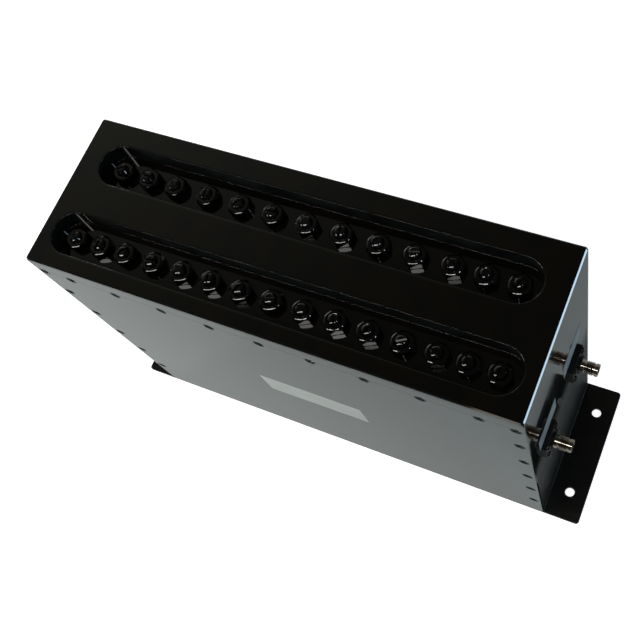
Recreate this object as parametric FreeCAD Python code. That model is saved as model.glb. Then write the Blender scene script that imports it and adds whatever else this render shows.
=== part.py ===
import FreeCAD, Part
import math
import os
from FreeCAD import Rotation, Vector

# Cavity duplexer, in millimetres. X runs along the body towards the end with two connectors,
# Y runs across it towards the far side, Z is up, and the origin is under the middle of the foot plate.

# Overall form
BODY_LENGTH = 400.0
BODY_WIDTH = 130.5
TOTAL_HEIGHT = 294.0
CORNER_RADIUS = 2.0
TOP_EDGE_BEVEL = 1.2

# Foot plate, which reaches past both ends of the body
FOOT_THICKNESS = 4.0
FOOT_SIDE_INSET = 0.5
FOOT_OVERHANG = 32.2
FOOT_CORNER_RADIUS = 3.0
FOOT_HOLE_RADIUS = 5.0
FOOT_HOLE_OUTSET = 16.5
FOOT_HOLE_SPACING = 78.8

# Side covers, flush under a lip of the housing
COVER_THICKNESS = 2.5
LIP_HEIGHT = 3.0
COVER_GAP = 0.3

# Walls of the milled housing
END_WALL = 12.8
BOTTOM_WALL = 16.0
CEILING = 13.0
WEB_THICKNESS = 6.0
PARTITION = 5.0

# Pockets in the top that hold the tuning screws
POCKET_WIDTH = 36.0
POCKET_DEPTH = 15.0
POCKET_EDGE_BEVEL = 1.0
POCKET_FLOOR_BEVEL = 1.0
NEAR_POCKET_MARGIN = 9.9
FAR_POCKET_MARGIN = 18.6
NEAR_ROW_INSET = 30.35
FAR_ROW_INSET = 36.05

# Tuning and coupling screws with their locknuts
NEAR_RESONATORS = 8
FAR_RESONATORS = 7
END_SCREW_INSET = 17.0
NEAR_END_PITCH = 22.4
FAR_END_PITCH = 24.4
SCREW_RADIUS = 4.0
SCREW_CLEARANCE = 0.3
SCREW_DROP = 3.6
SCREW_DROP_SPREAD = 0.8
TUNING_REACH = 52.0
COUPLING_REACH = 64.0
SLOT_WIDTH = 1.5
SLOT_DEPTH = 2.0
SLOT_TURN = 137.5
NUT_TURN = 68.75
NUT_ACROSS_FLATS = 14.0
NUT_HEIGHT = 7.5

# Resonators and the openings between their cavities
RESONATOR_RADIUS = 8.0
RESONATOR_GAP = 9.0
COUPLING_WINDOW = 70.0

# Flat sides that stand for a round bar where a piece is repeated many times
BAR_SIDES = 8
SMALL_BAR_SIDES = 6

# Small countersunk screws of the covers and the foot
SMALL_SCREW_RADIUS = 2.0
SMALL_HEAD_RADIUS = 4.2
SMALL_SCREW_REACH = 10.0
SMALL_SCREW_CLEARANCE = 0.15
COVER_SCREW_DROP = 20.5
COVER_SCREW_RISE = 50.4
COVER_SCREW_INSET = 6.4
COVER_SCREW_COLUMNS = 9
COVER_SCREW_ROWS = 5
COVER_CORNER_PITCH_X = 25.6
COVER_CORNER_PITCH_Z = 39.0
FOOT_SCREW_INSET = 15.0
FOOT_SCREW_END_INSET = 53.0
FOOT_SCREW_COLUMNS = 4

# Flanged coaxial connectors
CONNECTOR_HEIGHT = 157.0
FLANGE_SIDE = 25.4
FLANGE_THICKNESS = 3.5
FLANGE_SCREW_PITCH = 18.3
FLANGE_SCREW_RADIUS = 1.5
FLANGE_SCREW_REACH = 8.0
FLANGE_HEAD_RADIUS = 2.8
FLANGE_HEAD_HEIGHT = 2.2
SHOULDER_RADIUS = 7.0
SHOULDER_LENGTH = 2.5
BARREL_RADIUS = 5.55
BARREL_REACH = 20.0
BARREL_BORE_RADIUS = 4.2
BARREL_BORE_DEPTH = 9.0
SPIGOT_RADIUS = 6.2
SPIGOT_CLEARANCE = 0.2
INSULATOR_RADIUS = 3.4
INSULATOR_CLEARANCE = 0.05
INSULATOR_NOSE = 3.0
CONTACT_RADIUS = 1.2
CONTACT_NOSE = 4.0
TAP_GAP = 0.3
JUNCTION_LENGTH = 30.0
JUNCTION_HEIGHT = 24.0

# Places that follow from the dimensions above
HALF_LENGTH = BODY_LENGTH / 2
HALF_WIDTH = BODY_WIDTH / 2
FOOT_HALF_WIDTH = HALF_WIDTH - FOOT_SIDE_INSET
NEAR_ROW_Y = NEAR_ROW_INSET - HALF_WIDTH
FAR_ROW_Y = HALF_WIDTH - FAR_ROW_INSET
SEAT_Y = HALF_WIDTH - COVER_THICKNESS
LIP_Z = TOTAL_HEIGHT - LIP_HEIGHT
POCKET_FLOOR_Z = TOTAL_HEIGHT - POCKET_DEPTH
CEILING_Z = POCKET_FLOOR_Z - CEILING
CAVITY_FLOOR_Z = FOOT_THICKNESS + BOTTOM_WALL
CAVITY_HALF_LENGTH = HALF_LENGTH - END_WALL
WEB_Y = (NEAR_ROW_Y + FAR_ROW_Y) / 2
NUT_TOP_Z = POCKET_FLOOR_Z + NUT_HEIGHT
RESONATOR_TOP_Z = TOTAL_HEIGHT - SCREW_DROP - TUNING_REACH - RESONATOR_GAP
WINDOW_Z = CEILING_Z - COUPLING_WINDOW
X_AXIS = Vector(1, 0, 0)
Y_AXIS = Vector(0, 1, 0)
Z_AXIS = Vector(0, 0, 1)


def box(x_range, y_range, z_range):
    """A block between two values along each axis."""
    corner = Vector(x_range[0], y_range[0], z_range[0])
    size = [high - low for low, high in (x_range, y_range, z_range)]
    return Part.makeBox(size[0], size[1], size[2], corner)


def rod(radius, start, direction, length):
    """A round bar from a point along a direction."""
    return Part.makeCylinder(radius, length, start, direction)


def rounded_plate(half_x, half_y, radius, z_low, z_high):
    """A flat plate with four round corners."""
    plate = box((-half_x, half_x), (-half_y, half_y), (z_low, z_high))
    upright = [edge for edge in plate.Edges if edge.BoundBox.ZLength > (z_high - z_low) / 2]
    return plate.makeFillet(radius, upright)


def edges_at(shape, z):
    """All the edges that lie flat at one height."""
    return [e for e in shape.Edges if abs(e.BoundBox.ZMin - z) < 1e-4 and abs(e.BoundBox.ZMax - z) < 1e-4]


def reach_along_x(edge):
    """How far an edge gets from the middle, along X."""
    return max(-edge.BoundBox.XMin, edge.BoundBox.XMax)


def ring(sides, radius, z):
    """Corners of a regular polygon round the Z axis, with a flat side towards +X."""
    turns = [2 * math.pi * (i + 0.5) / sides for i in range(sides)]
    return [Vector(radius * math.cos(a), radius * math.sin(a), z) for a in turns]


def flat_bar(sides, radius_start, radius_end, length):
    """A straight or tapered bar with flat sides, along +Z from the origin."""
    low = ring(sides, radius_start, 0)
    high = ring(sides, radius_end, length)
    loops = [low, high]
    loops += [[low[i - 1], low[i], high[i], high[i - 1]] for i in range(sides)]
    faces = [Part.Face(Part.makePolygon(loop + [loop[0]])) for loop in loops]
    bar = Part.Solid(Part.makeShell(faces))
    return bar if bar.Volume > 0 else bar.reversed()


def straight_bar(sides, radius, length):
    """A flat-sided bar of one width, along +Z from the origin."""
    return flat_bar(sides, radius, radius, length)


def aim(shape, place, direction):
    """A copy of a shape made along +Z, moved to a place and turned along a direction."""
    moved = shape.copy()
    moved.Placement = FreeCAD.Placement(place, Rotation(Z_AXIS, direction)).multiply(shape.Placement)
    return moved


def small_screw(clearance=0.0):
    """A countersunk screw pointing along +Z from the face of its head, or the hole for it."""
    shank_radius = SMALL_SCREW_RADIUS + clearance
    head = flat_bar(SMALL_BAR_SIDES, SMALL_HEAD_RADIUS + clearance, shank_radius, COVER_THICKNESS)
    length = SMALL_SCREW_REACH - COVER_THICKNESS + clearance
    shank = flat_bar(SMALL_BAR_SIDES, shank_radius, shank_radius, length)
    shank.translate(Vector(0, 0, COVER_THICKNESS))
    return head.fuse(shank).removeSplitter()


def flange_screw_hole(length):
    """A hole that a flange screw passes through."""
    return straight_bar(SMALL_BAR_SIDES, FLANGE_SCREW_RADIUS + SMALL_SCREW_CLEARANCE, length)


# Layout of the two channels
def screw_row(margin, end_pitch, resonators):
    """Positions along X of a row: even places tune a resonator and odd places tune a coupling."""
    half = HALF_LENGTH - margin - END_SCREW_INSET
    inner = half - 2 * end_pitch
    steps = 2 * resonators - 6
    middle = [-inner + 2 * inner * i / steps for i in range(steps + 1)]
    return [-half, -half + end_pitch] + middle + [half - end_pitch, half]


CHANNELS = {
    "near": {
        "y": NEAR_ROW_Y,
        "outside": -1,
        "pocket_half": HALF_LENGTH - NEAR_POCKET_MARGIN,
        "row": screw_row(NEAR_POCKET_MARGIN, NEAR_END_PITCH, NEAR_RESONATORS),
    },
    "far": {
        "y": FAR_ROW_Y,
        "outside": 1,
        "pocket_half": HALF_LENGTH - FAR_POCKET_MARGIN,
        "row": screw_row(FAR_POCKET_MARGIN, FAR_END_PITCH, FAR_RESONATORS),
    },
}


def resonator_places(channel):
    return channel["row"][0::2]


def coupling_places(channel):
    return channel["row"][1::2]


def cover_screw_places():
    """Places along X and Z of a side cover's screws: a row under its top edge and a column down each end."""
    corner_x = HALF_LENGTH - COVER_SCREW_INSET
    inner_x = corner_x - COVER_CORNER_PITCH_X
    top_z = TOTAL_HEIGHT - COVER_SCREW_DROP
    step = 2 * inner_x / (COVER_SCREW_COLUMNS - 1)
    columns = [-corner_x] + [-inner_x + step * i for i in range(COVER_SCREW_COLUMNS)] + [corner_x]
    second_z = top_z - COVER_CORNER_PITCH_Z
    step = (second_z - COVER_SCREW_RISE) / (COVER_SCREW_ROWS - 1)
    rows = [second_z - step * i for i in range(COVER_SCREW_ROWS)]
    return [(x, top_z) for x in columns] + [(x, z) for x in (-corner_x, corner_x) for z in rows]


def foot_screw_places():
    """Places along X and Y of the screws that hold the foot plate."""
    foot_x = HALF_LENGTH - FOOT_SCREW_END_INSET
    foot_y = HALF_WIDTH - FOOT_SCREW_INSET
    step = 2 * foot_x / (FOOT_SCREW_COLUMNS - 1)
    return [(-foot_x + step * i, y) for i in range(FOOT_SCREW_COLUMNS) for y in (-foot_y, foot_y)]


def connector_places():
    """Each connector by name: its seat on the end face and the way it points."""
    return {
        "near": (Vector(HALF_LENGTH, NEAR_ROW_Y, CONNECTOR_HEIGHT), X_AXIS),
        "far": (Vector(HALF_LENGTH, FAR_ROW_Y, CONNECTOR_HEIGHT), X_AXIS),
        "common": (Vector(-HALF_LENGTH, WEB_Y, CONNECTOR_HEIGHT), X_AXIS * -1),
    }


def flange_screw_offsets():
    half = FLANGE_SCREW_PITCH / 2
    return [Vector(0, y, z) for y in (-half, half) for z in (-half, half)]


# Housing
def pocket(channel):
    """The long round-ended recess over one row of screws."""
    half_straight = channel["pocket_half"] - POCKET_WIDTH / 2
    wall = POCKET_WIDTH / 2 - POCKET_EDGE_BEVEL
    y = channel["y"]
    z_range = (POCKET_FLOOR_Z, TOTAL_HEIGHT + 1)
    recess = box((-half_straight, half_straight), (y - wall, y + wall), z_range)
    for x in (-half_straight, half_straight):
        recess = recess.fuse(rod(wall, Vector(x, y, POCKET_FLOOR_Z), Z_AXIS, POCKET_DEPTH + 1))
    return recess.removeSplitter()


def cavity_chain(channel):
    """The row of cavities of one channel, milled from its side with a wall at each coupling screw."""
    x_end = CAVITY_HALF_LENGTH
    outline = [(-x_end, CAVITY_FLOOR_Z), (-x_end, CEILING_Z), (x_end, CEILING_Z), (x_end, CAVITY_FLOOR_Z)]
    for x in reversed(coupling_places(channel)):
        right, left = x + PARTITION / 2, x - PARTITION / 2
        outline += [(right, CAVITY_FLOOR_Z), (right, WINDOW_Z), (left, WINDOW_Z), (left, CAVITY_FLOOR_Z)]
    outline.append(outline[0])
    side = channel["outside"]
    inner_y = WEB_Y + side * WEB_THICKNESS / 2
    wire = Part.makePolygon([Vector(x, inner_y, z) for x, z in outline])
    return Part.Face(wire).extrude(Vector(0, side * SEAT_Y - inner_y, 0))


def housing():
    body = rounded_plate(HALF_LENGTH, HALF_WIDTH, CORNER_RADIUS, LIP_Z, TOTAL_HEIGHT)
    body = body.fuse(box((-HALF_LENGTH, HALF_LENGTH), (-SEAT_Y, SEAT_Y), (FOOT_THICKNESS, LIP_Z)))
    for channel in CHANNELS.values():
        body = body.cut(pocket(channel))
    body = body.removeSplitter()
    body = body.makeChamfer(POCKET_FLOOR_BEVEL, edges_at(body, POCKET_FLOOR_Z))
    rims = edges_at(body, TOTAL_HEIGHT)
    pocket_reach = HALF_LENGTH - min(NEAR_POCKET_MARGIN, FAR_POCKET_MARGIN)
    body = body.makeChamfer(POCKET_EDGE_BEVEL, [e for e in rims if reach_along_x(e) <= pocket_reach])
    rims = edges_at(body, TOTAL_HEIGHT)
    body = body.makeChamfer(TOP_EDGE_BEVEL, [e for e in rims if reach_along_x(e) > pocket_reach])

    cutters = []
    for channel in CHANNELS.values():
        cutters.append(cavity_chain(channel))
        screw_hole = straight_bar(BAR_SIDES, SCREW_RADIUS + SCREW_CLEARANCE, CEILING + 2)
        for x in channel["row"]:
            cutters.append(aim(screw_hole, Vector(x, channel["y"], CEILING_Z - 1), Z_AXIS))
        hole = small_screw(SMALL_SCREW_CLEARANCE)
        for x, z in cover_screw_places():
            place = Vector(x, channel["outside"] * HALF_WIDTH, z)
            cutters.append(aim(hole, place, Y_AXIS * -channel["outside"]))
    foot_hole = small_screw(SMALL_SCREW_CLEARANCE)
    for x, y in foot_screw_places():
        cutters.append(aim(foot_hole, Vector(x, y, 0), Z_AXIS))
    spigot_hole = straight_bar(BAR_SIDES, SPIGOT_RADIUS + SPIGOT_CLEARANCE, END_WALL + 1)
    flange_hole = flange_screw_hole(FLANGE_SCREW_REACH)
    for place, direction in connector_places().values():
        cutters.append(aim(spigot_hole, place, direction * -1))
        for offset in flange_screw_offsets():
            cutters.append(aim(flange_hole, place + offset - direction * FLANGE_SCREW_REACH, direction))
    left = -CAVITY_HALF_LENGTH
    half_height = JUNCTION_HEIGHT / 2
    cutters.append(box((left, left + JUNCTION_LENGTH), (WEB_Y - WEB_THICKNESS, WEB_Y + WEB_THICKNESS),
                       (CONNECTOR_HEIGHT - half_height, CONNECTOR_HEIGHT + half_height)))
    return body.cut(cutters)


# Plates and their screws
def cover(side):
    """One flush side cover; side is -1 for the near one and 1 for the far one."""
    y_range = sorted((side * SEAT_Y, side * HALF_WIDTH))
    plate = box((-HALF_LENGTH, HALF_LENGTH), y_range, (FOOT_THICKNESS, LIP_Z - COVER_GAP))
    hole = small_screw(SMALL_SCREW_CLEARANCE)
    holes = [aim(hole, Vector(x, side * HALF_WIDTH, z), Y_AXIS * -side) for x, z in cover_screw_places()]
    return plate.cut(holes)


def foot_plate():
    half_x = HALF_LENGTH + FOOT_OVERHANG
    plate = rounded_plate(half_x, FOOT_HALF_WIDTH, FOOT_CORNER_RADIUS, 0, FOOT_THICKNESS)
    holes = []
    for x in (-HALF_LENGTH - FOOT_HOLE_OUTSET, HALF_LENGTH + FOOT_HOLE_OUTSET):
        for y in (-FOOT_HOLE_SPACING / 2, FOOT_HOLE_SPACING / 2):
            holes.append(rod(FOOT_HOLE_RADIUS, Vector(x, y, -1), Z_AXIS, FOOT_THICKNESS + 2))
    hole = small_screw(SMALL_SCREW_CLEARANCE)
    holes += [aim(hole, Vector(x, y, 0), Z_AXIS) for x, y in foot_screw_places()]
    return plate.cut(holes)


def cover_screws():
    screw = small_screw()
    solids = []
    for side in (-1, 1):
        for x, z in cover_screw_places():
            solids.append(aim(screw, Vector(x, side * HALF_WIDTH, z), Y_AXIS * -side))
    return Part.makeCompound(solids)


def foot_screws():
    screw = small_screw()
    return Part.makeCompound([aim(screw, Vector(x, y, 0), Z_AXIS) for x, y in foot_screw_places()])


# Tuning gear
def screw_top(order):
    """Height of a screw's slotted end: no two neighbours are set the same."""
    return TOTAL_HEIGHT - SCREW_DROP + SCREW_DROP_SPREAD * math.sin(order * SLOT_TURN)


def adjusting_screw(x, y, order, reach):
    """A slotted screw that hangs through its nut and the ceiling into the cavity."""
    top = screw_top(order)
    screw = aim(straight_bar(BAR_SIDES, SCREW_RADIUS, reach), Vector(x, y, top - reach), Z_AXIS)
    slot = box((-SCREW_RADIUS - 1, SCREW_RADIUS + 1), (-SLOT_WIDTH / 2, SLOT_WIDTH / 2), (-SLOT_DEPTH, 1))
    slot.Placement = FreeCAD.Placement(Vector(x, y, top), Rotation(Z_AXIS, order * SLOT_TURN))
    return screw.cut(slot)


def locknut(x, y, order):
    """A hexagon nut, each turned a little differently."""
    nut = straight_bar(6, NUT_ACROSS_FLATS / 2 / math.cos(math.pi / 6), NUT_HEIGHT)
    bore = straight_bar(BAR_SIDES, SCREW_RADIUS + SCREW_CLEARANCE, NUT_HEIGHT + 2)
    bore.translate(Vector(0, 0, -1))
    nut.Placement = FreeCAD.Placement(Vector(0, 0, 0), Rotation(Z_AXIS, order * NUT_TURN))
    nut = nut.cut(bore)
    nut.translate(Vector(x, y, POCKET_FLOOR_Z))
    return nut


def resonator(x, y):
    """A quarter-wave rod that stands on the cavity floor under its tuning screw."""
    bar = straight_bar(BAR_SIDES, RESONATOR_RADIUS, RESONATOR_TOP_Z - CAVITY_FLOOR_Z)
    return aim(bar, Vector(x, y, CAVITY_FLOOR_Z), Z_AXIS)


# Connectors, made along +Z from the seat and then aimed
def connector_body():
    """Square flange with a spigot behind it and a shouldered barrel in front."""
    half = FLANGE_SIDE / 2
    body = box((-half, half), (-half, half), (0, FLANGE_THICKNESS))
    body = body.fuse(aim(straight_bar(BAR_SIDES, SPIGOT_RADIUS, END_WALL), Vector(0, 0, -END_WALL), Z_AXIS))
    body = body.fuse(rod(SHOULDER_RADIUS, Vector(0, 0, FLANGE_THICKNESS), Z_AXIS, SHOULDER_LENGTH))
    barrel_length = BARREL_REACH - FLANGE_THICKNESS
    body = body.fuse(rod(BARREL_RADIUS, Vector(0, 0, FLANGE_THICKNESS), Z_AXIS, barrel_length))
    bore_floor = BARREL_REACH - BARREL_BORE_DEPTH
    sleeve_bore = straight_bar(BAR_SIDES, INSULATOR_RADIUS + INSULATOR_CLEARANCE, bore_floor + END_WALL + 2)
    barrel_bore = straight_bar(2 * BAR_SIDES, BARREL_BORE_RADIUS, BARREL_BORE_DEPTH + 1)
    cutters = [aim(barrel_bore, Vector(0, 0, bore_floor), Z_AXIS),
               aim(sleeve_bore, Vector(0, 0, -END_WALL - 1), Z_AXIS)]
    flange_hole = flange_screw_hole(FLANGE_THICKNESS + 2)
    for offset in flange_screw_offsets():
        cutters.append(aim(flange_hole, Vector(offset.z, offset.y, -1), Z_AXIS))
    return body.cut(cutters)


def insulator():
    """A plain sleeve that holds the contact in the middle of the body."""
    length = END_WALL + BARREL_REACH - BARREL_BORE_DEPTH + INSULATOR_NOSE
    sleeve = aim(straight_bar(BAR_SIDES, INSULATOR_RADIUS, length), Vector(0, 0, -END_WALL), Z_AXIS)
    bore = straight_bar(SMALL_BAR_SIDES, CONTACT_RADIUS + INSULATOR_CLEARANCE, length + 2)
    bore.translate(Vector(0, 0, -END_WALL - 1))
    return sleeve.cut(bore)


def contact(tap_length):
    """The centre contact and the tap that runs on from it into the cavity."""
    nose = BARREL_REACH - CONTACT_NOSE
    bar = straight_bar(SMALL_BAR_SIDES, CONTACT_RADIUS, nose + tap_length)
    return aim(bar, Vector(0, 0, -tap_length), Z_AXIS)


def end_contact(name):
    """Contact of a port at the two-connector end, whose tap ends at the last resonator."""
    place, direction = connector_places()[name]
    tap_length = HALF_LENGTH - resonator_places(CHANNELS[name])[-1] - RESONATOR_RADIUS - TAP_GAP
    return aim(contact(tap_length), place, direction)


def common_contact():
    """Contact of the shared port, with a cross bar to the first resonator of each channel."""
    place, direction = connector_places()["common"]
    near_x = resonator_places(CHANNELS["near"])[0]
    far_x = resonator_places(CHANNELS["far"])[0]
    bar_x = (near_x + far_x) / 2
    stem = aim(contact(HALF_LENGTH + bar_x), place, direction)
    bar_start = NEAR_ROW_Y + RESONATOR_RADIUS + TAP_GAP
    bar_length = FAR_ROW_Y - RESONATOR_RADIUS - TAP_GAP - bar_start
    cross = straight_bar(SMALL_BAR_SIDES, CONTACT_RADIUS, bar_length)
    bar = aim(cross, Vector(bar_x, bar_start, CONNECTOR_HEIGHT), Y_AXIS)
    return stem.fuse(bar)


def flange_screws():
    """Round-headed screws that hold each flange to its end wall."""
    reach = FLANGE_THICKNESS + FLANGE_SCREW_REACH - 1
    screw = straight_bar(SMALL_BAR_SIDES, FLANGE_SCREW_RADIUS, reach)
    screw.translate(Vector(0, 0, -reach))
    screw = screw.fuse(straight_bar(BAR_SIDES, FLANGE_HEAD_RADIUS, FLANGE_HEAD_HEIGHT))
    solids = []
    for place, direction in connector_places().values():
        for offset in flange_screw_offsets():
            solids.append(aim(screw, place + offset + direction * FLANGE_THICKNESS, direction))
    return Part.makeCompound(solids)


def all_nodes():
    """Every sub-part by its node name."""
    nodes = {
        "housing": housing(),
        "foot_plate": foot_plate(),
        "near_cover": cover(-1),
        "far_cover": cover(1),
        "cover_screws": cover_screws(),
        "foot_screws": foot_screws(),
        "flange_screws": flange_screws(),
        "near_contact": end_contact("near"),
        "far_contact": end_contact("far"),
        "common_contact": common_contact(),
    }
    order = 0
    nuts = []
    for name, channel in CHANNELS.items():
        y = channel["y"]
        for i, x in enumerate(resonator_places(channel)):
            nodes[f"{name}_resonator_{i + 1}"] = resonator(x, y)
        for i, x in enumerate(channel["row"]):
            order += 1
            kind, reach = (("tuning", TUNING_REACH), ("coupling", COUPLING_REACH))[i % 2]
            nodes[f"{name}_{kind}_screw_{i // 2 + 1}"] = adjusting_screw(x, y, order, reach)
            nuts.append(locknut(x, y, order))
    nodes["locknuts"] = Part.makeCompound(nuts)
    sleeves = []
    for name, (place, direction) in connector_places().items():
        nodes[f"{name}_connector"] = aim(connector_body(), place, direction)
        sleeves.append(aim(insulator(), place, direction))
    nodes["connector_insulators"] = Part.makeCompound(sleeves)
    return nodes


def main():
    os.makedirs("parts", exist_ok=True)
    for name, shape in all_nodes().items():
        shape.exportStep(os.path.join("parts", name + ".step"))


main()
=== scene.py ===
import bpy
import math
from mathutils import Euler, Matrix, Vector


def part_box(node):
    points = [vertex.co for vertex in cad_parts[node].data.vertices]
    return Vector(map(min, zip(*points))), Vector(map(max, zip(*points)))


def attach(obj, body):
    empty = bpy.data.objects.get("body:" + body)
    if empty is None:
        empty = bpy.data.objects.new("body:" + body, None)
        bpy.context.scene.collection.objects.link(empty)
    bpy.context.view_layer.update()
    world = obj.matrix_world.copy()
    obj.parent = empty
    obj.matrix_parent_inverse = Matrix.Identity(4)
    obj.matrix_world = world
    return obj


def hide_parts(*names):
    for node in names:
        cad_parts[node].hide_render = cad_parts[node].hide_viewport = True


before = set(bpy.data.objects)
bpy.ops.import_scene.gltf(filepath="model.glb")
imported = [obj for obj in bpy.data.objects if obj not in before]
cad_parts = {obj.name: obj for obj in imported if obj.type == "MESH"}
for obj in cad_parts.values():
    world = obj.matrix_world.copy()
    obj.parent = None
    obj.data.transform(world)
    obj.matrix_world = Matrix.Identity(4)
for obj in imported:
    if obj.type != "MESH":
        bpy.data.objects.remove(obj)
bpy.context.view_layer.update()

# Sizes in millimetres, as in the part's source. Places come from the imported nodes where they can.
MM = 0.001
BODY_LOW, BODY_HIGH = (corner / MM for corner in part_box("housing"))
HALF_LENGTH, HALF_WIDTH, TOP_Z = BODY_HIGH
FOOT_Z = BODY_LOW.z
LIP_Z = 291.0
COVER_THICKNESS = 2.5
SEAT_Y = HALF_WIDTH - COVER_THICKNESS
CORNER_RADIUS = 2.0
TOP_BEVEL = 1.05
SIDE_OF = {"near": -1, "far": 1}
ROW_Y = {"near": -34.9, "far": 29.2}

# Pockets in the top, with a rounded rim that ends in a very shallow dip
POCKET_FLOOR_Z = 279.0
POCKET_FLOOR_ROUND = 0.35
POCKET_HALF_WIDTH = 17.6
POCKET_HALF_LENGTH = {"near": 190.1, "far": 181.4}
POCKET_SIDES = 96
RIM_ROUND = 0.4
DIP_DEPTH = 0.06
DIP_REACH = 1.4

# Cavities, with a web between the rows and partitions across them
CEILING_Z = 266.0
WINDOW_FLOOR_Z = 196
WINDOW_END_X = 187.2
CAVITY_FLOOR_Z = 20
CAVITY_TOP_Z = 200
CAVITY_END_X = 189.7
PARTITION_HALF = 2.5
WEB_Y = -2.85
WEB_HALF = 3
JUNCTION = ((-187.2, WEB_Y - 6, 145), (-157.2, WEB_Y + 6, 169))

# Holes in the housing
ADJUSTER_HOLE = 4.3
TAPPED_HOLE = 2.15
PORT_HOLE = 6.4
FLANGE_SCREW_HOLE = 1.65

# Adjusting screws and their nuts, which are turned so that their flats shine where the photo's do
ADJUSTER_REACH = {"tuning": 52.0, "coupling": 64.0}
THREADS = 12
PITCH = 1.0
SLOT_TURN = 137.5
NUT_FLATS = 16.4
NUT_HEIGHT = 7.5
NUT_TURNS = {
    "near": [20, 54, 20, 40, 54, 54, 51, 30, 55, 58, 55, 25, 52, 17, 28],
    "far": [33, 12, 22, 30, 22, 6, 48, 54, 20, 53, 50, 5, 10],
}

# Small screws and the holes of the foot plate
COVER_SCREWS = [(x, 273.5) for x in [-193.6] + [-168.0 + 42 * i for i in range(9)] + [193.6]]
COVER_SCREWS += [(x, 234.5 - 46.03 * i) for x in (-193.6, 193.6) for i in range(5)]
FOOT_SCREWS = [(x, y) for x in (-147.0, -49.0, 49.0, 147.0) for y in (-50.25, 50.25)]
FOOT_HOLES = [(x, y) for x in (-216.5, 216.5) for y in (-39.4, 39.4)]
JOINT_LINE_Z = (276.2, 276.5)
JOINT_LINE_DEPTH = 0.2
BEAD = 0.32

# Connectors: where each one seats, and how far its axis tilts from +Z
CONNECTOR_Z = 157.0
FLANGE_HALF = 12.7
FLANGE_THICKNESS = 3.5
SHOULDER = 6.0
CONTACT_RADIUS = 1.2
FLANGE_SCREWS = [(a, b) for a in (-9.15, 9.15) for b in (-9.15, 9.15)]
FLANGE_SCREW_TURNS = (10, 81, 43, 114)
PORTS = {
    "near": (Vector((HALF_LENGTH, ROW_Y["near"], CONNECTOR_Z)), 90),
    "far": (Vector((HALF_LENGTH, ROW_Y["far"], CONNECTOR_Z)), 90),
    "common": (Vector((-HALF_LENGTH, WEB_Y, CONNECTOR_Z)), -90),
}

# The side label's range along X and Z, and the play round it in its recess
LABEL_X = (-38.2, 55.1)
LABEL_Z = (131.3, 168.5)
LABEL_PLAY = 0.2

# Stations of the turned forms: height and radius
FOOT_HOLE = [(-0.4, 4.6), (0.1, 4.3), (3.9, 4.3), (4.4, 4.6)]
COUNTERSINK = [(-0.6, 5.2), (0.0, 4.6), (2.4, 2.2), (5.0, 2.2)]
COUNTERSUNK_SCREW = [(0.8, 3.5), (0.9, 3.6), (2.43, 2.07), (9.6, 2.05), (10.0, 1.6)]
PAN_SCREW = [(-10.5, 1.5), (0, 1.5), (0, 2.8), (0.9, 2.8), (1.5, 2.6), (1.95, 2.1), (2.15, 1.4),
             (2.2, 0.8)]
NUT_CROWN = [(-1, 7.75), (0.5, 7.75), (0.52, 8.1), (2.1, 11), (NUT_HEIGHT - 3.42, 11),
             (NUT_HEIGHT - 0.52, 8.2), (NUT_HEIGHT - 0.32, 7.87), (NUT_HEIGHT - 0.15, 7.53),
             (NUT_HEIGHT, 7.2)]
NUT_BORE = [(-1, 4.3), (NUT_HEIGHT - 0.48, 4.3), (NUT_HEIGHT - 0.27, 4.67),
            (NUT_HEIGHT - 0.08, 5.05), (NUT_HEIGHT + 0.1, 5.47)]
ADJUSTER_TOP = [(-0.59, 4.0), (-0.38, 3.63), (-0.18, 3.24), (0, 2.82)]
BARREL_ROOT = [(-12.8, 6.2), (1.5, 6.2), (1.5, 7.0), (5.75, 7.0), (SHOULDER, 6.75),
               (SHOULDER, 5.5), (8.7, 5.5), (8.9, 5.3), (8.9, 4.4), (10.1, 4.4), (10.2, 4.6)]
BARREL_NOSE = [(16.3, 4.6), (17.1, 4.6), (17.2, 5.25), (19.7, 5.25), (20.0, 4.95)]
BARREL_BORE = [(-14, 3.45), (11, 3.45), (11, 4.2), (19.7, 4.2), (20.2, 4.7)]
SLEEVE = [(-12.8, 3.4), (13.7, 3.4), (14.0, 3.1)]
SLEEVE_BORE = [(-14, 1.25), (15, 1.25)]


def row_of(channel, kinds=("tuning", "coupling")):
    """The adjusting screws of one row from left to right: x, height of the top and node name."""
    row = []
    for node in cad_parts:
        if node.startswith(channel) and any(kind + "_screw" in node for kind in kinds):
            low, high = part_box(node)
            row.append((round((low.x + high.x) / 2 / MM, 3), high.z / MM, node))
    return sorted(row)


# Tools of the bench
def choose(*pieces):
    """Selects these pieces and nothing else, the last one active."""
    bpy.ops.object.select_all(action="DESELECT")
    for piece in pieces:
        piece.select_set(True)
    bpy.context.view_layer.objects.active = pieces[-1]


def settle(piece):
    """Puts a piece's place, turn and size into its mesh, so that its object sits at the origin."""
    choose(piece)
    bpy.ops.object.transform_apply(location=True, rotation=True, scale=True)


def block(name, low, high):
    """A block between two corners."""
    bpy.ops.object.select_all(action="DESELECT")
    middle = [(a + b) / 2 * MM for a, b in zip(low, high)]
    size = [abs(b - a) * MM for a, b in zip(low, high)]
    bpy.ops.mesh.primitive_cube_add(size=1, location=middle, scale=size)
    piece = bpy.context.object
    piece.name = name
    settle(piece)
    return piece


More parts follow.
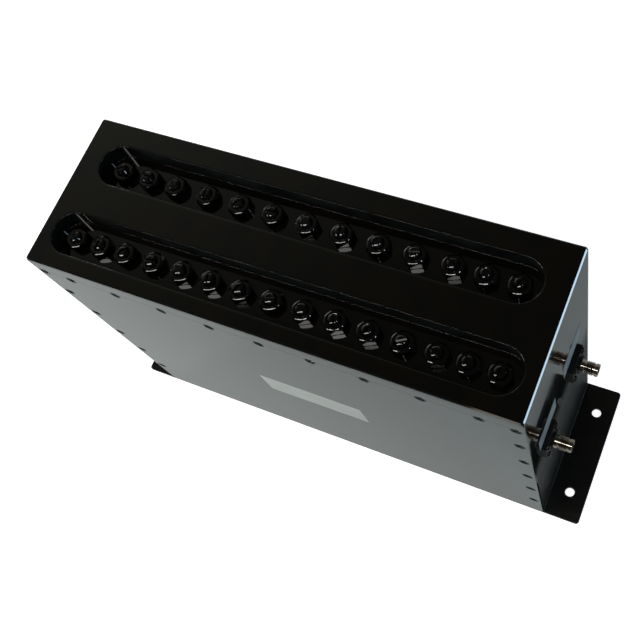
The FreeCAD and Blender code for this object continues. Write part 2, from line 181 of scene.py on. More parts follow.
def turned(name, sides, profile, turn=0.0):
    """A turned solid round the Z axis, from its stations."""
    bpy.ops.object.select_all(action="DESELECT")
    height, radius = profile[0]
    bpy.ops.mesh.primitive_circle_add(vertices=sides, radius=radius * MM, fill_type="NGON",
                                      location=(0, 0, height * MM),
                                      rotation=(0, 0, math.radians(turn)))
    piece = bpy.context.object
    piece.name = name
    settle(piece)
    bpy.ops.object.mode_set(mode="EDIT")
    bpy.ops.mesh.select_mode(type="FACE")
    bpy.ops.mesh.select_all(action="SELECT")
    for next_height, next_radius in profile[1:]:
        bpy.ops.mesh.extrude_region()
        if next_height != height:
            bpy.ops.transform.translate(value=(0, 0, (next_height - height) * MM))
        if next_radius != radius:
            grow = next_radius / radius
            bpy.ops.transform.resize(value=(grow, grow, 1),
                                     center_override=(0, 0, next_height * MM))
        height, radius = next_height, next_radius
    bpy.ops.mesh.select_all(action="SELECT")
    bpy.ops.mesh.normals_make_consistent(inside=False)
    bpy.ops.object.mode_set(mode="OBJECT")
    return piece


def begin_choice(piece, kind):
    """Leaves a piece in object mode with none of its points or edges selected."""
    choose(piece)
    bpy.ops.object.mode_set(mode="EDIT")
    bpy.ops.mesh.select_mode(type=kind)
    bpy.ops.mesh.select_all(action="DESELECT")
    bpy.ops.object.mode_set(mode="OBJECT")


def select_points(piece, wanted):
    """Goes into edit mode with the points selected whose place, in millimetres, is wanted."""
    begin_choice(piece, "VERT")
    for point in piece.data.vertices:
        point.select = wanted(point.co / MM)
    bpy.ops.object.mode_set(mode="EDIT")


def round_edges(piece, wanted, radius, segments):
    """Rounds the edges whose two ends, in millimetres, are wanted."""
    begin_choice(piece, "EDGE")
    points = piece.data.vertices
    for edge in piece.data.edges:
        edge.select = wanted(*(points[i].co / MM for i in edge.vertices))
    bpy.ops.object.mode_set(mode="EDIT")
    bpy.ops.mesh.bevel(offset=radius * MM, segments=segments, affect="EDGES", profile=0.5)
    bpy.ops.object.mode_set(mode="OBJECT")


def runs_along(axis):
    """A test for the edges that run along one axis."""
    across = [i for i in range(3) if i != axis]
    return lambda a, b: all(abs(a[i] - b[i]) < 0.01 for i in across)


def lies_at(**places):
    """A test for the edges whose ends both have these coordinates."""
    return lambda a, b: all(abs(getattr(end, axis) - place) < 0.01
                            for end in (a, b) for axis, place in places.items())


def is_level(a, b):
    """Whether an edge lies level."""
    return abs(a.z - b.z) < 0.01


def combine(piece, other, operation):
    """Cuts another piece out of this one, adds it or keeps what both share, and removes it."""
    work = piece.modifiers.new("work", "BOOLEAN")
    work.operation = operation
    work.solver = "EXACT"
    work.object = other
    choose(piece)
    bpy.ops.object.modifier_apply(modifier=work.name)
    bpy.data.objects.remove(other)
    return piece


def cut(piece, cutters):
    """Cuts a set of cutters that don't touch each other out of a piece."""
    return combine(piece, gather("cutters", cutters), "DIFFERENCE")


def gather(name, pieces):
    """Joins pieces into one."""
    choose(*pieces)
    if len(pieces) > 1:
        bpy.ops.object.join()
    piece = bpy.context.object
    piece.name = name
    return piece


def copy_of(piece, place=(0, 0, 0), tilt=(0, 0, 0), spin=0.0):
    """A copy with its own mesh: spun about its axis, tilted and then moved."""
    twin = piece.copy()
    twin.data = piece.data.copy()
    bpy.context.scene.collection.objects.link(twin)
    tilted = Euler([math.radians(a) for a in tilt]).to_matrix()
    spun = Euler((0, 0, math.radians(spin))).to_matrix()
    twin.rotation_euler = (tilted @ spun).to_euler()
    twin.location = Vector(place) * MM
    settle(twin)
    return twin


def spread(pattern, placings):
    """A list of copies of one pattern piece, one at each placing; the pattern is removed."""
    twins = [copy_of(pattern, *placing) for placing in placings]
    bpy.data.objects.remove(pattern)
    return twins


def copies(name, pattern, placings):
    """Copies of one pattern piece at each placing, joined; the pattern is removed."""
    return gather(name, spread(pattern, placings))


def polish(piece, material, angle=32.0):
    """Smooth shading with crisp edges and the piece's material."""
    choose(piece)
    bpy.ops.object.shade_smooth_by_angle(angle=math.radians(angle))
    weighted = piece.modifiers.new("weighted", "WEIGHTED_NORMAL")
    weighted.keep_sharp = True
    bpy.ops.object.modifier_apply(modifier=weighted.name)
    piece.data.materials.clear()
    piece.data.materials.append(material)
    return piece


def fit(piece, body, slot, *nodes):
    """Fixes a finished piece to its body, in place of the nodes it stands for."""
    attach(piece, body)
    if nodes:
        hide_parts(*nodes)


# Shader nodes
def feed(tree, socket, value):
    """Gives a socket a number, a colour or vector, or the output of another node."""
    if isinstance(value, (int, float)):
        socket.default_value = value
    elif isinstance(value, tuple):
        socket.default_value = (*value, 1) if socket.type == "RGBA" else value
    else:
        tree.links.new(value, socket)


def add_node(tree, kind, values=None, **settings):
    """A node of one kind, with its settings and what its sockets get."""
    node = tree.nodes.new(kind)
    for setting, value in settings.items():
        setattr(node, setting, value)
    for socket, value in (values or {}).items():
        feed(tree, node.inputs[socket], value)
    return node


def math_node(tree, operation, first, second, clamp=False):
    """A sum, product or the like of numbers or outputs."""
    node = add_node(tree, "ShaderNodeMath", operation=operation, use_clamp=clamp)
    feed(tree, node.inputs[0], first)
    feed(tree, node.inputs[1], second)
    return node.outputs[0]


def step_mask(tree, value, low, high):
    """0 below low and 1 above high, with a smooth step between."""
    node = add_node(tree, "ShaderNodeMapRange",
                    {"Value": value, "From Min": low, "From Max": high},
                    interpolation_type="SMOOTHSTEP")
    return node.outputs["Result"]


def blend_value(tree, mask, first, second):
    """Two numbers or outputs mixed by a mask."""
    node = add_node(tree, "ShaderNodeMapRange", {"Value": mask, "To Min": first, "To Max": second})
    return node.outputs["Result"]


def blend_colour(tree, mask, first, second):
    """Two colours mixed by a mask; a colour is numbers or another output."""
    node = add_node(tree, "ShaderNodeMix", {"Factor": mask, 6: first, 7: second},
                    data_type="RGBA")
    return node.outputs[2]


def noise(tree, place, scale, detail, rough):
    """A noise pattern's value."""
    node = add_node(tree, "ShaderNodeTexNoise",
                    {"Vector": place, "Scale": scale, "Detail": detail, "Roughness": rough})
    return node.outputs["Fac"]


def object_place(tree):
    """The Object coordinates."""
    return add_node(tree, "ShaderNodeTexCoord").outputs["Object"]


# Shader node groups
def new_group(name, outputs):
    """A node group without inputs, with named number outputs."""
    tree = bpy.data.node_groups.new(name, "ShaderNodeTree")
    for socket in outputs:
        tree.interface.new_socket(name=socket, in_out="OUTPUT", socket_type="NodeSocketFloat")
    return tree, tree.nodes.new("NodeGroupOutput")


def make_paint_skin():
    """The skin of sprayed paint: an orange-peel height, and a cloudy mask of a given scale."""
    tree, end = new_group("paint_skin", ("Height", "Clouds"))
    tree.interface.new_socket(name="Cloud Scale", in_out="INPUT", socket_type="NodeSocketFloat")
    start = tree.nodes.new("NodeGroupInput")
    place = object_place(tree)
    peel = math_node(tree, "MULTIPLY", noise(tree, place, 420.0, 1.5, 0.4), 0.35)
    wave = noise(tree, place, 55.0, 1.0, 0.4)
    feed(tree, end.inputs["Height"], math_node(tree, "ADD", peel, wave))
    clouds = noise(tree, place, start.outputs["Cloud Scale"], 6.0, 0.62)
    feed(tree, end.inputs["Clouds"], step_mask(tree, clouds, 0.36, 0.66))
    return tree


def make_dust():
    """Fine dust and lint: small bright dots, spread unevenly."""
    tree, end = new_group("dust", ("Mask",))
    place = object_place(tree)
    dots = add_node(tree, "ShaderNodeTexVoronoi", {"Vector": place, "Scale": 260.0}, feature="F1")
    near_dot = math_node(tree, "LESS_THAN", dots.outputs["Distance"], 0.16)
    shade = add_node(tree, "ShaderNodeSeparateColor", {"Color": dots.outputs["Color"]})
    chosen = math_node(tree, "GREATER_THAN", shade.outputs[0], 0.9)
    patches = step_mask(tree, noise(tree, place, 22.0, 3.0, 0.6), 0.62, 0.8)
    dot = math_node(tree, "MULTIPLY", near_dot, chosen)
    feed(tree, end.inputs["Mask"], math_node(tree, "MULTIPLY", dot, patches))
    return tree


def make_upward():
    """1 on faces that look up, 0 on walls."""
    tree, end = new_group("upward", ("Mask",))
    normal = add_node(tree, "ShaderNodeNewGeometry").outputs["Normal"]
    facing = add_node(tree, "ShaderNodeSeparateXYZ", {"Vector": normal})
    feed(tree, end.inputs["Mask"], step_mask(tree, facing.outputs["Z"], 0.8, 1.0))
    return tree


PAINT_SKIN = make_paint_skin()
DUST = make_dust()
UPWARD = make_upward()


# Materials. Depths and heights are in metres.
DUST_COLOUR = (0.16, 0.15, 0.13)
DULL_HEIGHTS = (0.11, 0.19)
PEEL_DEPTH = 0.000006
MARK_DEPTH = 0.000004


def new_material(name, base, roughness, metallic=0.0, ior=1.5):
    """A material, its tree, its shader and its Object coordinates."""
    material = bpy.data.materials.new(name)
    material.use_nodes = True
    tree = material.node_tree
    shader = tree.nodes["Principled BSDF"]
    shader.inputs["Base Color"].default_value = (*base, 1)
    shader.inputs["Roughness"].default_value = roughness
    shader.inputs["Metallic"].default_value = metallic
    shader.inputs["IOR"].default_value = ior
    return material, tree, shader, object_place(tree)


def skin_of(tree, cloud_scale):
    """The height and the clouds of the paint skin."""
    node = add_node(tree, "ShaderNodeGroup", {"Cloud Scale": cloud_scale}, node_tree=PAINT_SKIN)
    return node.outputs["Height"], node.outputs["Clouds"]


def mask_of(tree, group):
    """The mask of a group."""
    return add_node(tree, "ShaderNodeGroup", node_tree=group).outputs["Mask"]


def relief(tree, shader, height, depth):
    """A bump from a height."""
    bump = add_node(tree, "ShaderNodeBump", {"Height": height, "Distance": depth, "Strength": 1.0})
    feed(tree, shader.inputs["Normal"], bump.outputs["Normal"])


def shaded(colour, share):
    """A share of a colour."""
    return tuple(share * part for part in colour)


def gloss_paint(name, wall, dark, warm, roughness, cloud_scale=35.0, dull=0.0):
    """Sprayed glossy black paint with orange peel.

    Walls have faint clouds on their own wall colour. Where that colour is lighter than the dark of
    the upward faces, it is painted light that stands for what the walls reflect. Faces that look
    up have clouds from dark to warm, and dust. Where dull is given, the lower part of the walls is
    as rough as that.
    """
    material, tree, shader, place = new_material(name, dark, roughness)
    peel, clouds = skin_of(tree, cloud_scale)
    top = blend_colour(tree, clouds, dark, warm)
    top = blend_colour(tree, mask_of(tree, DUST), top, DUST_COLOUR)
    # Painted light: where the wall colour is lighter than the upward faces' dark, it stands for the
    # light the walls reflect
    side = blend_colour(tree, clouds, wall, shaded(wall, 0.3))
    colour = blend_colour(tree, mask_of(tree, UPWARD), side, top)
    feed(tree, shader.inputs["Base Color"], colour)
    rough = blend_value(tree, clouds, roughness, roughness + 0.04)
    if dull:
        height = add_node(tree, "ShaderNodeSeparateXYZ", {"Vector": place}).outputs["Z"]
        low = blend_value(tree, step_mask(tree, height, *DULL_HEIGHTS), dull, 0.0)
        rough = math_node(tree, "MAXIMUM", rough, low)
    feed(tree, shader.inputs["Roughness"], rough)
    relief(tree, shader, peel, PEEL_DEPTH)
    return material


def turned_metal(name, base, roughness, metallic, ior=1.5):
    """A machined metal, or a plastic, with fine tool marks and faint stains."""
    material, tree, shader, place = new_material(name, base, roughness, metallic, ior)
    stains = skin_of(tree, 260.0)[1]
    feed(tree, shader.inputs["Base Color"], blend_colour(tree, stains, base, shaded(base, 0.72)))
    marks = noise(tree, place, 2200.0, 2.0, 0.6)
    rough = blend_value(tree, marks, roughness * 0.75, roughness * 1.35)
    feed(tree, shader.inputs["Roughness"], rough)
    relief(tree, shader, marks, MARK_DEPTH)
    return material


def foil(name, base, roughness):
    """A bare label foil with a soft sheen and faint streaks."""
    material, tree, shader, place = new_material(name, base, roughness)
    stretch = add_node(tree, "ShaderNodeMapping", {"Vector": place, "Scale": (0.15, 0.15, 1.0)})
    streaks = noise(tree, stretch.outputs["Vector"], 900.0, 3.0, 0.6)
    mixed = math_node(tree, "MULTIPLY", skin_of(tree, 45.0)[1], streaks)
    feed(tree, shader.inputs["Base Color"], blend_colour(tree, mixed, base, shaded(base, 0.86)))
    rough = blend_value(tree, streaks, roughness, roughness + 0.12)
    feed(tree, shader.inputs["Roughness"], rough)
    relief(tree, shader, streaks, MARK_DEPTH)
    return material


# The first colour of each paint is its wall colour. For the body and the covers it is painted
# light: a lighter, bluish grey on the walls than the dark of the upward faces.
BODY_PAINT = gloss_paint("black_body_paint", (0.0068, 0.0088, 0.0085), (0.0014, 0.0015, 0.0012),
                         (0.0034, 0.0023, 0.0011), 0.03, dull=0.45)
COVER_PAINT = gloss_paint("black_cover_paint", (0.024, 0.04, 0.044), (0.0012, 0.0013, 0.0014),
                          (0.0045, 0.005, 0.005), 0.05, 170.0)
FOOT_PAINT = gloss_paint("black_foot_paint", (0.005, 0.005, 0.005), (0.005, 0.005, 0.0046),
                         (0.008, 0.0072, 0.006), 0.18)
# The bead's light grey is a painted highlight along the joint line at the foot plate.
BEAD_HIGHLIGHT_PAINT = gloss_paint("bead_painted_highlight", (0.075, 0.085, 0.095), (0.075, 0.085, 0.095),
                         (0.05, 0.055, 0.06), 0.3)
BLACK_STEEL = turned_metal("blackened_steel", (0.001, 0.001, 0.001), 0.06, 0.0)
SCREW_STEEL = turned_metal("blackened_screw_steel", (0.008, 0.009, 0.01), 0.14, 0.0)
FLANGE_STEEL = turned_metal("dull_flange_steel", (0.007, 0.0075, 0.009), 0.5, 0.0, ior=1.3)
NICKEL = turned_metal("nickel_plating", (0.46, 0.405, 0.35), 0.07, 1.0)
BRASS = turned_metal("gilded_brass", (0.8, 0.58, 0.25), 0.2, 1.0)
BARE_METAL = turned_metal("silvered_aluminium", (0.75, 0.74, 0.72), 0.3, 1.0)
WHITE_PLASTIC = turned_metal("white_plastic", (0.78, 0.77, 0.74), 0.4, 0.0)
SIDE_FOIL = foil("side_label_foil", (0.45, 0.47, 0.46), 0.35)
END_FOIL = foil("end_label_foil", (0.3, 0.36, 0.4), 0.35)


# Housing
def pocket_cutter(channel):
    """The round-ended recess of one row, with a filleted floor and a rounded rim."""
    profile = []
    for angle in (math.radians(18 * i) for i in range(6)):
        profile.append((POCKET_FLOOR_Z + POCKET_FLOOR_ROUND * (1 - math.cos(angle)),
                        POCKET_HALF_WIDTH - POCKET_FLOOR_ROUND * (1 - math.sin(angle))))
    for angle in (math.radians(17.6 * i) for i in range(6)):
        profile.append((TOP_Z - DIP_DEPTH - RIM_ROUND * (1 - math.sin(angle)),
                        POCKET_HALF_WIDTH + RIM_ROUND * (1 - math.cos(angle))))
    profile += [(TOP_Z, POCKET_HALF_WIDTH + RIM_ROUND + DIP_REACH),
                (TOP_Z + 0.3, POCKET_HALF_WIDTH + 3.5)]
    half_step = 180 / POCKET_SIDES
    cutter = turned("pocket", POCKET_SIDES, profile, half_step)
    reach = POCKET_HALF_LENGTH[channel] - POCKET_HALF_WIDTH - RIM_ROUND
    for side in (-1, 1):
        # Points that have already been moved lie beyond 100
        select_points(cutter, lambda place: place.x * side > 0 and abs(place.x) < 100)
        bpy.ops.transform.translate(value=(side * reach * MM, 0, 0))
        bpy.ops.object.mode_set(mode="OBJECT")
    cutter.scale.y = 1 / math.cos(math.radians(half_step))
    cutter.location.y = ROW_Y[channel] * MM
    settle(cutter)
    return cutter


def round_hole(radius, depth, sides, place, tilt=(0, 0, 0)):
    """A cutter for a plain hole that starts at a place and goes along its axis."""
    hole = turned("hole", sides, [(-0.5, radius), (depth, radius)])
    return spread(hole, [(place, tilt)])[0]


def milled_housing():
    """The body with its lip, pockets, cavities and screw holes, milled from the solid."""
    lip = block("milled_housing", (BODY_LOW.x, BODY_LOW.y, LIP_Z), BODY_HIGH)
    round_edges(lip, runs_along(2), CORNER_RADIUS, 6)
    round_edges(lip, lies_at(z=TOP_Z), TOP_BEVEL, 1)
    trunk = block("trunk", (-HALF_LENGTH, -SEAT_Y, FOOT_Z), (HALF_LENGTH, SEAT_Y, LIP_Z + 1))
    body = combine(lip, trunk, "UNION")
    for channel in SIDE_OF:
        combine(body, pocket_cutter(channel), "DIFFERENCE")
    windows, chambers, holes = [], [], []
    for channel, side in SIDE_OF.items():
        inner, outer = sorted((WEB_Y + side * WEB_HALF, side * (SEAT_Y + 1)))
        windows.append(block("window", (-WINDOW_END_X, inner, WINDOW_FLOOR_Z),
                             (WINDOW_END_X, outer, CEILING_Z)))
        walls = [x for x, top, node in row_of(channel, ("coupling",))]
        for left, right in zip([-CAVITY_END_X] + walls, walls + [CAVITY_END_X]):
            chambers.append(block("chamber", (left + PARTITION_HALF, inner, CAVITY_FLOOR_Z),
                                  (right - PARTITION_HALF, outer, CAVITY_TOP_Z)))
        for x, top, node in row_of(channel):
            holes.append(round_hole(ADJUSTER_HOLE, 16, 20, (x, ROW_Y[channel], CEILING_Z - 1)))
        for x, z in COVER_SCREWS:
            holes.append(round_hole(TAPPED_HOLE, 7.65, 10, (x, side * SEAT_Y, z),
                                    (90 * side, 0, 0)))
    for x, y in FOOT_SCREWS:
        holes.append(round_hole(TAPPED_HOLE, 6.15, 10, (x, y, FOOT_Z)))
    for seat, tilt in PORTS.values():
        holes.append(round_hole(PORT_HOLE, 14, 24, seat, (0, -tilt, 0)))
        for y, z in FLANGE_SCREWS:
            holes.append(round_hole(FLANGE_SCREW_HOLE, 8, 10, seat + Vector((0, y, z)),
                                    (0, -tilt, 0)))
    cut(body, windows)
    cut(body, chambers)
    cut(body, [block("junction", *JUNCTION)])
    cut(body, holes)
    fit(polish(body, BODY_PAINT), "cabinet", "black_paint", "housing")


# Side covers, foot plate and small screws
def countersinks(placings):
    """Cutters for countersunk holes, each opening at its place."""
    return spread(turned("countersink", 28, COUNTERSINK), placings)


def side_cover(name, node, side, label_recess=None):
    """A cover plate with its countersunk holes and the fine line through its top row."""
    low, high = (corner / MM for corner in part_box(node))
    plate = block(name, low, high)
    face_y = side * HALF_WIDTH
    round_edges(plate, lies_at(y=face_y), 0.35, 2)
    cut(plate, countersinks([((x, face_y, z), (90 * side, 0, 0)) for x, z in COVER_SCREWS]))
    line = block("joint_line", (-HALF_LENGTH - 1, face_y - JOINT_LINE_DEPTH, JOINT_LINE_Z[0]),
                 (HALF_LENGTH + 1, face_y + JOINT_LINE_DEPTH, JOINT_LINE_Z[1]))
    combine(plate, line, "DIFFERENCE")
    if label_recess:
        combine(plate, label_recess, "DIFFERENCE")
    fit(polish(plate, COVER_PAINT), "cabinet", "black_paint", node)


def cross_recess(depth, reach, width):
    """The cutter for a cross-shaped driver recess that opens at the origin and tapers upward."""
    arms = []
    for turn in (0, 90):
        arm = block("arm", (-reach, -width / 2, -0.6), (reach, width / 2, depth))
        select_points(arm, lambda place: place.z > 0)
        bpy.ops.transform.resize(value=(0.35, 0.7, 1), center_override=(0, 0, 0))
        bpy.ops.object.mode_set(mode="OBJECT")
        arms += spread(arm, [((0, 0, 0), (0, 0, 0), turn)])
    return combine(*arms, "UNION")


def countersunk_screw():
    """A countersunk screw whose head opens at the origin, with its shank going up."""
    screw = turned("screw", 28, COUNTERSUNK_SCREW)
    return combine(screw, cross_recess(2.4, 2.5, 1.3), "DIFFERENCE")


def small_screws():
    """The countersunk screws of both covers and of the foot plate."""
    placings = []
    for side in (-1, 1):
        for i, (x, z) in enumerate(COVER_SCREWS):
            placings.append(((x, side * HALF_WIDTH, z), (90 * side, 0, 0), 37 * i + 20))
    screws = copies("side_cover_screws", countersunk_screw(), placings)
    fit(polish(screws, SCREW_STEEL), "cabinet", "black_steel", "cover_screws")
    placings = [((x, y, 0), (0, 0, 0), 51 * i) for i, (x, y) in enumerate(FOOT_SCREWS)]
    screws = copies("foot_plate_screws", countersunk_screw(), placings)
    fit(polish(screws, SCREW_STEEL), "cabinet", "black_steel", "foot_screws")


def bottom_plate():
    """The foot plate with its bolt holes and the countersinks below."""
    low, high = (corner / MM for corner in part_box("foot_plate"))
    plate = block("bottom_plate", low, high)
    round_edges(plate, runs_along(2), 3.0, 8)
    round_edges(plate, is_level, 0.4, 2)
    cutters = spread(turned("hole", 48, FOOT_HOLE), [((x, y, 0),) for x, y in FOOT_HOLES])
    cut(plate, cutters + countersinks([((x, y, 0),) for x, y in FOOT_SCREWS]))
    fit(polish(plate, FOOT_PAINT), "cabinet", "black_paint", "foot_plate")


def foot_beads():
    """The thin bead of paint where each end wall meets the foot plate."""
    beads = []
    half_width = HALF_WIDTH - 1.5
    for side in (-1, 1):
        outer_x = side * (HALF_LENGTH + BEAD)
        low_x, high_x = sorted((side * HALF_LENGTH, outer_x))
        bead = block("bead", (low_x, -half_width, FOOT_Z), (high_x, half_width, FOOT_Z + BEAD))
        round_edges(bead, lies_at(x=outer_x, z=FOOT_Z + BEAD), 0.29, 3)
        beads.append(bead)
    # The bead's light grey colour is a painted highlight along the joint line.
    fit(polish(gather("foot_joint_beads", beads), BEAD_HIGHLIGHT_PAINT), "cabinet", "black_paint")


# Tuning gear
def hex_nut():
    """A locknut on the origin, with corners turned down, a washer face and a chamfered bore."""
    corner = NUT_FLATS / math.sqrt(3)
    nut = turned("nut", 6, [(0, corner), (NUT_HEIGHT, corner)])
    round_edges(nut, runs_along(2), 0.3, 2)
    combine(nut, turned("crown", 72, NUT_CROWN), "INTERSECT")
    return combine(nut, turned("bore", 48, NUT_BORE), "DIFFERENCE")


def adjusting_screw(reach):
    """A slotted screw whose top is at the origin, threaded where it shows."""
    start = -0.7 - THREADS * PITCH
    profile = [(-reach, 3.5), (-reach + 0.5, 3.85), (start, 3.85)]
    for i in range(THREADS):
        z = start + i * PITCH
        profile += [(z + 0.12, 3.62), (z + 0.3, 3.62), (z + 0.62, 4.0), (z + 0.8, 4.0)]
    screw = turned("screw", 48, profile + ADJUSTER_TOP)
    return combine(screw, block("slot", (-6, -0.75, -2), (6, 0.75, 1)), "DIFFERENCE")


def tuning_gear():
    """The adjusting screws, each on its own body, and their locknuts on the pocket floors."""
    patterns = {kind: adjusting_screw(reach) for kind, reach in ADJUSTER_REACH.items()}
    placings = []
    for channel in SIDE_OF:
        for (x, top, node), turn in zip(row_of(channel), NUT_TURNS[channel]):
            placings.append(((x, ROW_Y[channel], POCKET_FLOOR_Z), (0, 0, 0), turn))
            kind = "tuning" if "tuning" in node else "coupling"
            spin = len(placings) * SLOT_TURN
            screw = copy_of(patterns[kind], (x, ROW_Y[channel], top), spin=spin)
            screw.name = node.replace("screw", "adjuster")
            fit(polish(screw, BLACK_STEEL, 14), node, "black_steel", node)
    for pattern in patterns.values():
        bpy.data.objects.remove(pattern)
    nuts = copies("hex_locknuts", hex_nut(), placings)
    fit(polish(nuts, BLACK_STEEL, 14), "cabinet", "black_steel", "locknuts")


# Connectors, made along +Z from the seat and then tilted to their end face
def connector_pattern():
    """A square flange with a shoulder, a grooved and threaded barrel, and a spigot behind."""
    flange = block("flange", (-FLANGE_HALF, -FLANGE_HALF, 0),
                   (FLANGE_HALF, FLANGE_HALF, FLANGE_THICKNESS))
    round_edges(flange, runs_along(2), 1.6, 5)
    round_edges(flange, lies_at(z=FLANGE_THICKNESS), 0.3, 2)
    threads = []
    for i in range(4):
        z = BARREL_ROOT[-1][0] + 1.5 * i
        threads += [(z, 4.6), (z + 0.5, 5.55), (z + 0.9, 5.55), (z + 1.4, 4.6)]
    barrel = turned("barrel", 64, BARREL_ROOT + threads + BARREL_NOSE)
    body = combine(flange, barrel, "UNION")
    combine(body, turned("bore", 48, BARREL_BORE), "DIFFERENCE")
    return cut(body, [round_hole(FLANGE_SCREW_HOLE, 6, 12, (x, y, -1)) for x, y in FLANGE_SCREWS])


def pan_screw():
    """A pan-headed flange screw that sits on the origin with its shank going down."""
    head = turned("screw", 28, PAN_SCREW)
    recess = cross_recess(1.5, 1.7, 0.8)
    recess.rotation_euler.x = math.pi
    recess.location.z = PAN_SCREW[-1][0] * MM
    settle(recess)
    return combine(head, recess, "DIFFERENCE")


def connector_body(pattern, name, seat, tilt):
    """The shell of one connector: a dark flange, and nickel on the barrel beyond the shoulder."""
    piece = copy_of(pattern, seat, (0, tilt, 0))
    piece.name = name + "_jack"
    polish(piece, FLANGE_STEEL, 40)
    piece.data.materials.append(NICKEL)
    for face in piece.data.polygons:
        ahead, y, z = face.center / MM - seat
        beyond = abs(ahead) - SHOULDER
        if beyond > 0.1 or (beyond > -0.1 and math.hypot(y, z) < 5.7):
            face.material_index = 1
    fit(piece, "cabinet", "nickel", name + "_connector")


def centre_contact(name, seat, tilt):
    """A centre contact with its tap behind; the shared port's tap ends in a bar across the web."""
    low, high = (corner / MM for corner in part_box(name + "_contact"))
    bar_x = high.x - CONTACT_RADIUS
    tap = bar_x + HALF_LENGTH if name == "common" else HALF_LENGTH - low.x
    pin = turned(name + "_pin", 24, [(-tap, CONTACT_RADIUS), (15.6, CONTACT_RADIUS), (16.0, 0.95)])
    cut(pin, [round_hole(0.55, 3.5, 16, (0, 0, 16), (180, 0, 0))])
    pin = copies(name + "_pin", pin, [(seat, (0, tilt, 0))])
    if name == "common":
        bar = turned("bar", 24, [(0, CONTACT_RADIUS), (high.y - low.y, CONTACT_RADIUS)])
        bar = copies("bar", bar, [((bar_x, low.y, CONNECTOR_Z), (-90, 0, 0))])
        combine(pin, bar, "UNION")
    fit(polish(pin, BRASS), "cabinet", "brass", name + "_contact")


def connectors():
    """The three connectors, with their contacts, flange screws and insulating sleeves."""
    pattern = connector_pattern()
    screw_placings, sleeve_placings = [], []
    for name, (seat, tilt) in PORTS.items():
        connector_body(pattern, name, seat, tilt)
        face_x = math.copysign(FLANGE_THICKNESS, tilt)
        for (y, z), turn in zip(FLANGE_SCREWS, FLANGE_SCREW_TURNS):
            screw_placings.append((seat + Vector((face_x, y, z)), (0, tilt, 0), turn))
        sleeve_placings.append((seat, (0, tilt, 0)))
        centre_contact(name, seat, tilt)
    bpy.data.objects.remove(pattern)
    screws = copies("flange_pan_screws", pan_screw(), screw_placings)
    fit(polish(screws, SCREW_STEEL), "cabinet", "black_steel", "flange_screws")
    sleeve = turned("sleeve", 32, SLEEVE)
    combine(sleeve, turned("bore", 20, SLEEVE_BORE), "DIFFERENCE")
    sleeves = copies("connector_sleeves", sleeve, sleeve_placings)
    fit(polish(sleeves, WHITE_PLASTIC), "cabinet", "white_plastic", "connector_insulators")


# Labels, left bare
def bare_label(name, low, high, face_axis, material):
    """A thin plate with rounded corners."""
    label = block(name, low, high)
    round_edges(label, runs_along(face_axis), 0.6, 3)
    fit(polish(label, material), "cabinet", "bare_aluminium")


def labels():
    """The label of the near side, and one above each connector of the right end."""
    bare_label("side_label", (LABEL_X[0], -HALF_WIDTH + 0.02, LABEL_Z[0]),
               (LABEL_X[1], -HALF_WIDTH + 0.3, LABEL_Z[1]), 1, SIDE_FOIL)
    bare_label("near_end_label", (HALF_LENGTH, -50.0, 174.0),
               (HALF_LENGTH + 0.2, -13.5, 196.0), 0, END_FOIL)
    bare_label("far_end_label", (HALF_LENGTH, 6.5, 184.0),
               (HALF_LENGTH + 0.2, 44.5, 206.0), 0, END_FOIL)


def label_seat():
    """The cutter for the shallow recess of the side label in the near cover."""
    seat = block("seat", (LABEL_X[0] - LABEL_PLAY, -HALF_WIDTH - 1, LABEL_Z[0] - LABEL_PLAY),
                 (LABEL_X[1] + LABEL_PLAY, -HALF_WIDTH + 0.3, LABEL_Z[1] + LABEL_PLAY))
    round_edges(seat, runs_along(1), 1.3, 4)
    return seat


milled_housing()
side_cover("near_side_cover", "near_cover", -1, label_seat())
side_cover("far_side_cover", "far_cover", 1)
small_screws()
bottom_plate()
foot_beads()
tuning_gear()
connectors()
labels()

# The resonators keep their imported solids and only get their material
for node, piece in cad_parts.items():
    if "resonator" in node:
        piece.data.materials.clear()
        piece.data.materials.append(BARE_METAL)


# Studio, in metres
def camera():
    """The camera that was fitted to the photo."""
    view = bpy.data.cameras.new("view")
    eye = bpy.data.objects.new("view", view)
    bpy.context.scene.collection.objects.link(eye)
    eye.location = (0.2841, -0.2034, 0.866)
    eye.rotation_euler = [math.radians(a) for a in (22.97, 11.86, 22.68)]
    view.lens = 52.35
    view.shift_x, view.shift_y = -0.0842, -0.0166
    view.clip_start, view.clip_end = 0.05, 60
    bpy.context.scene.camera = eye


def lamp(name, place, size, radiance, colour, target=(0, 0, 0.29)):
    """A rectangular lamp, level along its first side, that faces its target."""
    light = bpy.data.lights.new(name, "AREA")
    light.shape = "RECTANGLE"
    light.size, light.size_y = size
    light.energy = 4 * size[0] * size[1] * radiance
    light.color = colour
    holder = bpy.data.objects.new(name, light)
    bpy.context.scene.collection.objects.link(holder)
    holder.location = place
    holder.rotation_euler = (Vector(place) - Vector(target)).to_track_quat("Z", "Y").to_euler()


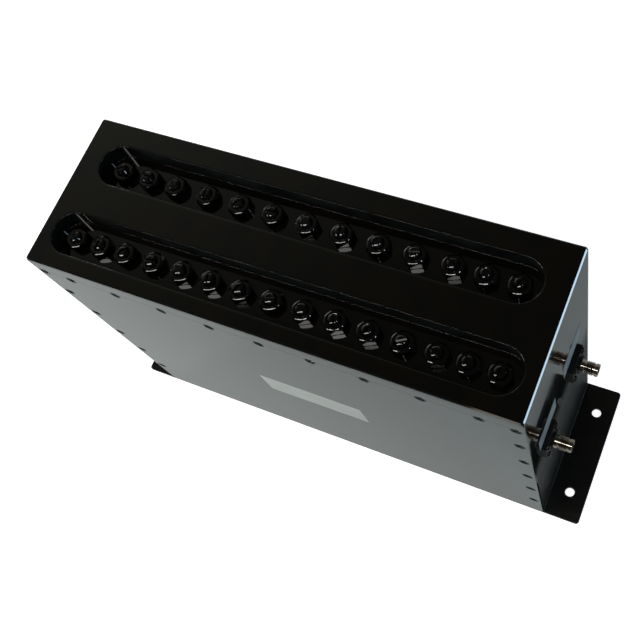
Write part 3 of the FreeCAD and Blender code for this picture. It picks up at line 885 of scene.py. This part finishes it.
def lights():
    """The lamps that the glossy faces mirror, each placed by the angles of the photo's glints."""
    lamp("slanted_tube", (-0.355, -0.664, 1.19), (1.5, 0.065), 16.0, (1.0, 0.99, 0.96),
         (-0.555, -0.204, 0.29))
    lamp("low_left", (-1.35, -0.86, 0.56), (0.7, 0.3), 20.8, (0.96, 1.0, 1.0), (0, -0.05, 0.15))
    lamp("front_spot", (-0.04, -1.31, 0.59), (0.1, 0.3), 2.0, (1.0, 0.93, 0.82), (0.17, 0, 0.29))
    lamp("back_window", (-1.1, 1.05, 0.4), (0.35, 0.3), 5.0, (0.95, 0.97, 1.0), (-0.15, 0, 0.29))
    lamp("right_window", (1.45, 0.43, 0.47), (0.5, 0.12), 14.5, (0.6, 0.82, 1.0))
    lamp("blue_spot", (0.6, -0.05, 1.2), (0.07, 0.07), 30.0, (0.7, 0.86, 1.0))


def is_seen(tree, glossy_share):
    """1 for what the camera sees, and a share of it for reflections and light through glass."""
    path = add_node(tree, "ShaderNodeLightPath").outputs
    bounced = math_node(tree, "ADD", path["Is Glossy Ray"], path["Is Transmission Ray"])
    bounced = math_node(tree, "MULTIPLY", bounced, glossy_share)
    return math_node(tree, "ADD", path["Is Camera Ray"], bounced, clamp=True)


def pale_floor():
    """A pale matt floor that the camera sees as white."""
    bpy.ops.object.select_all(action="DESELECT")
    bpy.ops.mesh.primitive_plane_add(size=14)
    floor = bpy.context.object
    floor.name = "floor"
    material, tree, shader, place = new_material("pale_floor", (0.78, 0.8, 0.79), 0.9)
    shader.inputs["Specular IOR Level"].default_value = 0.1
    shader.inputs["Emission Color"].default_value = (1, 1, 1, 1)
    glow = math_node(tree, "MULTIPLY", is_seen(tree, 0.04), 0.9)
    feed(tree, shader.inputs["Emission Strength"], glow)
    floor.data.materials.append(material)


def surroundings():
    """A dim room that is brighter on the far left, behind a background that is seen as white."""
    world = bpy.data.worlds.new("room")
    bpy.context.scene.world = world
    world.use_nodes = True
    tree = world.node_tree
    direction = add_node(tree, "ShaderNodeTexCoord").outputs["Generated"]
    axes = add_node(tree, "ShaderNodeSeparateXYZ", {"Vector": direction}).outputs
    toward = math_node(tree, "MULTIPLY", math_node(tree, "SUBTRACT", axes["Y"], axes["X"]), 0.75)
    glow = math_node(tree, "MULTIPLY", math_node(tree, "SUBTRACT", toward, 0.35), 1.54, clamp=True)
    room = blend_value(tree, math_node(tree, "POWER", glow, 2.1), 0.045, 0.75)
    seen = is_seen(tree, 0.0)
    background = tree.nodes["Background"].inputs
    feed(tree, background["Color"], blend_colour(tree, seen, (0.98, 1.0, 0.88), (1.0, 1.0, 1.0)))
    feed(tree, background["Strength"], blend_value(tree, seen, room, 1.0))


camera()
lights()
pale_floor()
surroundings()
bpy.context.scene.view_settings.view_transform = "Standard"
